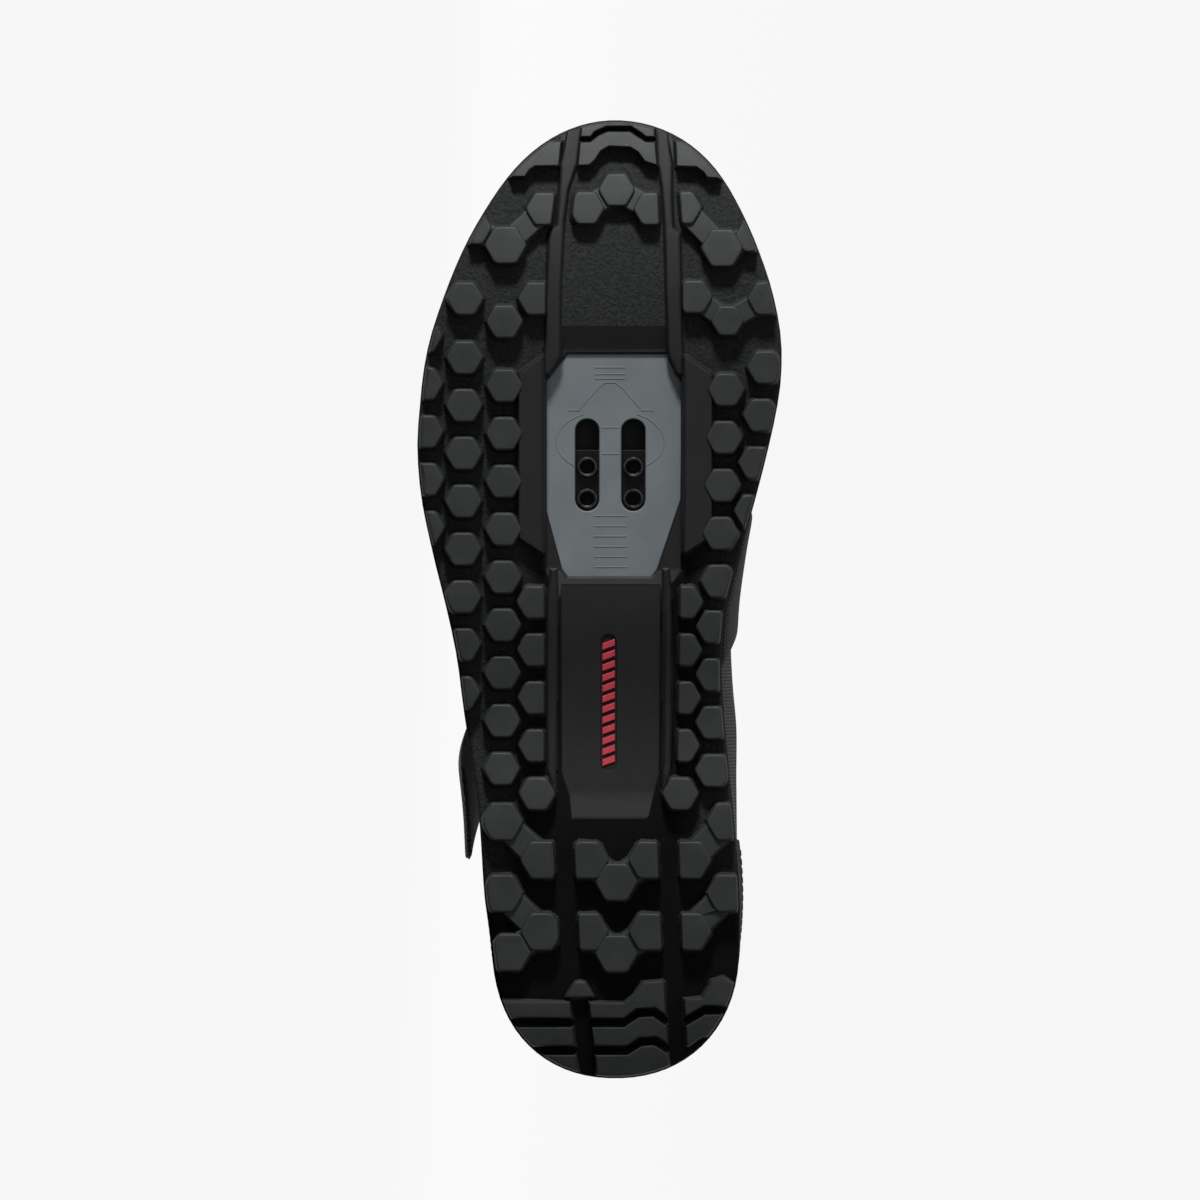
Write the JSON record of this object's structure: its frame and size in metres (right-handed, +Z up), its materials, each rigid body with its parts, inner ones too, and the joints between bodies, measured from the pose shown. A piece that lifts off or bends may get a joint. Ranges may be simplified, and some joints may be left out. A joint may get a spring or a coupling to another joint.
{
  "type": "cycling shoe",
  "caption": "Trail cycling shoe lying on its inner side, with a hexagon-lugged sole, a two-bolt cleat fitting, laces and an instep strap.",
  "frame": {"origin": "centre of the bounding box in plan, on the floor that the shoe lies on", "axes": "+X towards the toe, +Y the way the top of the shoe points so that the sole faces -Y, +Z up towards the outer side of the shoe"},
  "size_m": [0.2908, 0.1346, 0.1085],
  "materials": {
    "rubber": "matt pebbled black rubber",
    "foam": "matt dark foam",
    "nylon": "satin grey nylon",
    "steel": "dark plain steel",
    "lining": "soft dark textile",
    "fabric": "woven dark grey mesh",
    "synthetic": "matt black coated overlay",
    "webbing": "black woven tape"
  },
  "bodies": {
    "shoe": {"outsole": "rubber", "midsole": "foam", "cleat_plate": "nylon", "insole": "lining", "upper": "fabric", "eyestay": "synthetic", "toe_cap": "synthetic", "heel_counter": "synthetic", "tongue": "fabric", "strap": "webbing", "lace_1": "webbing", "lace_2": "webbing", "lace_3": "webbing", "lace_4": "webbing", "lace_5": "webbing"},
    "nut": {"nut_plate": "steel"}
  },
  "joints": [
    {"name": "nut_slide", "type": "slide", "parent": "shoe", "child": "nut", "axis": [0.9986, 0, 0.0532], "range_m": [0, 0.011]}
  ]
}
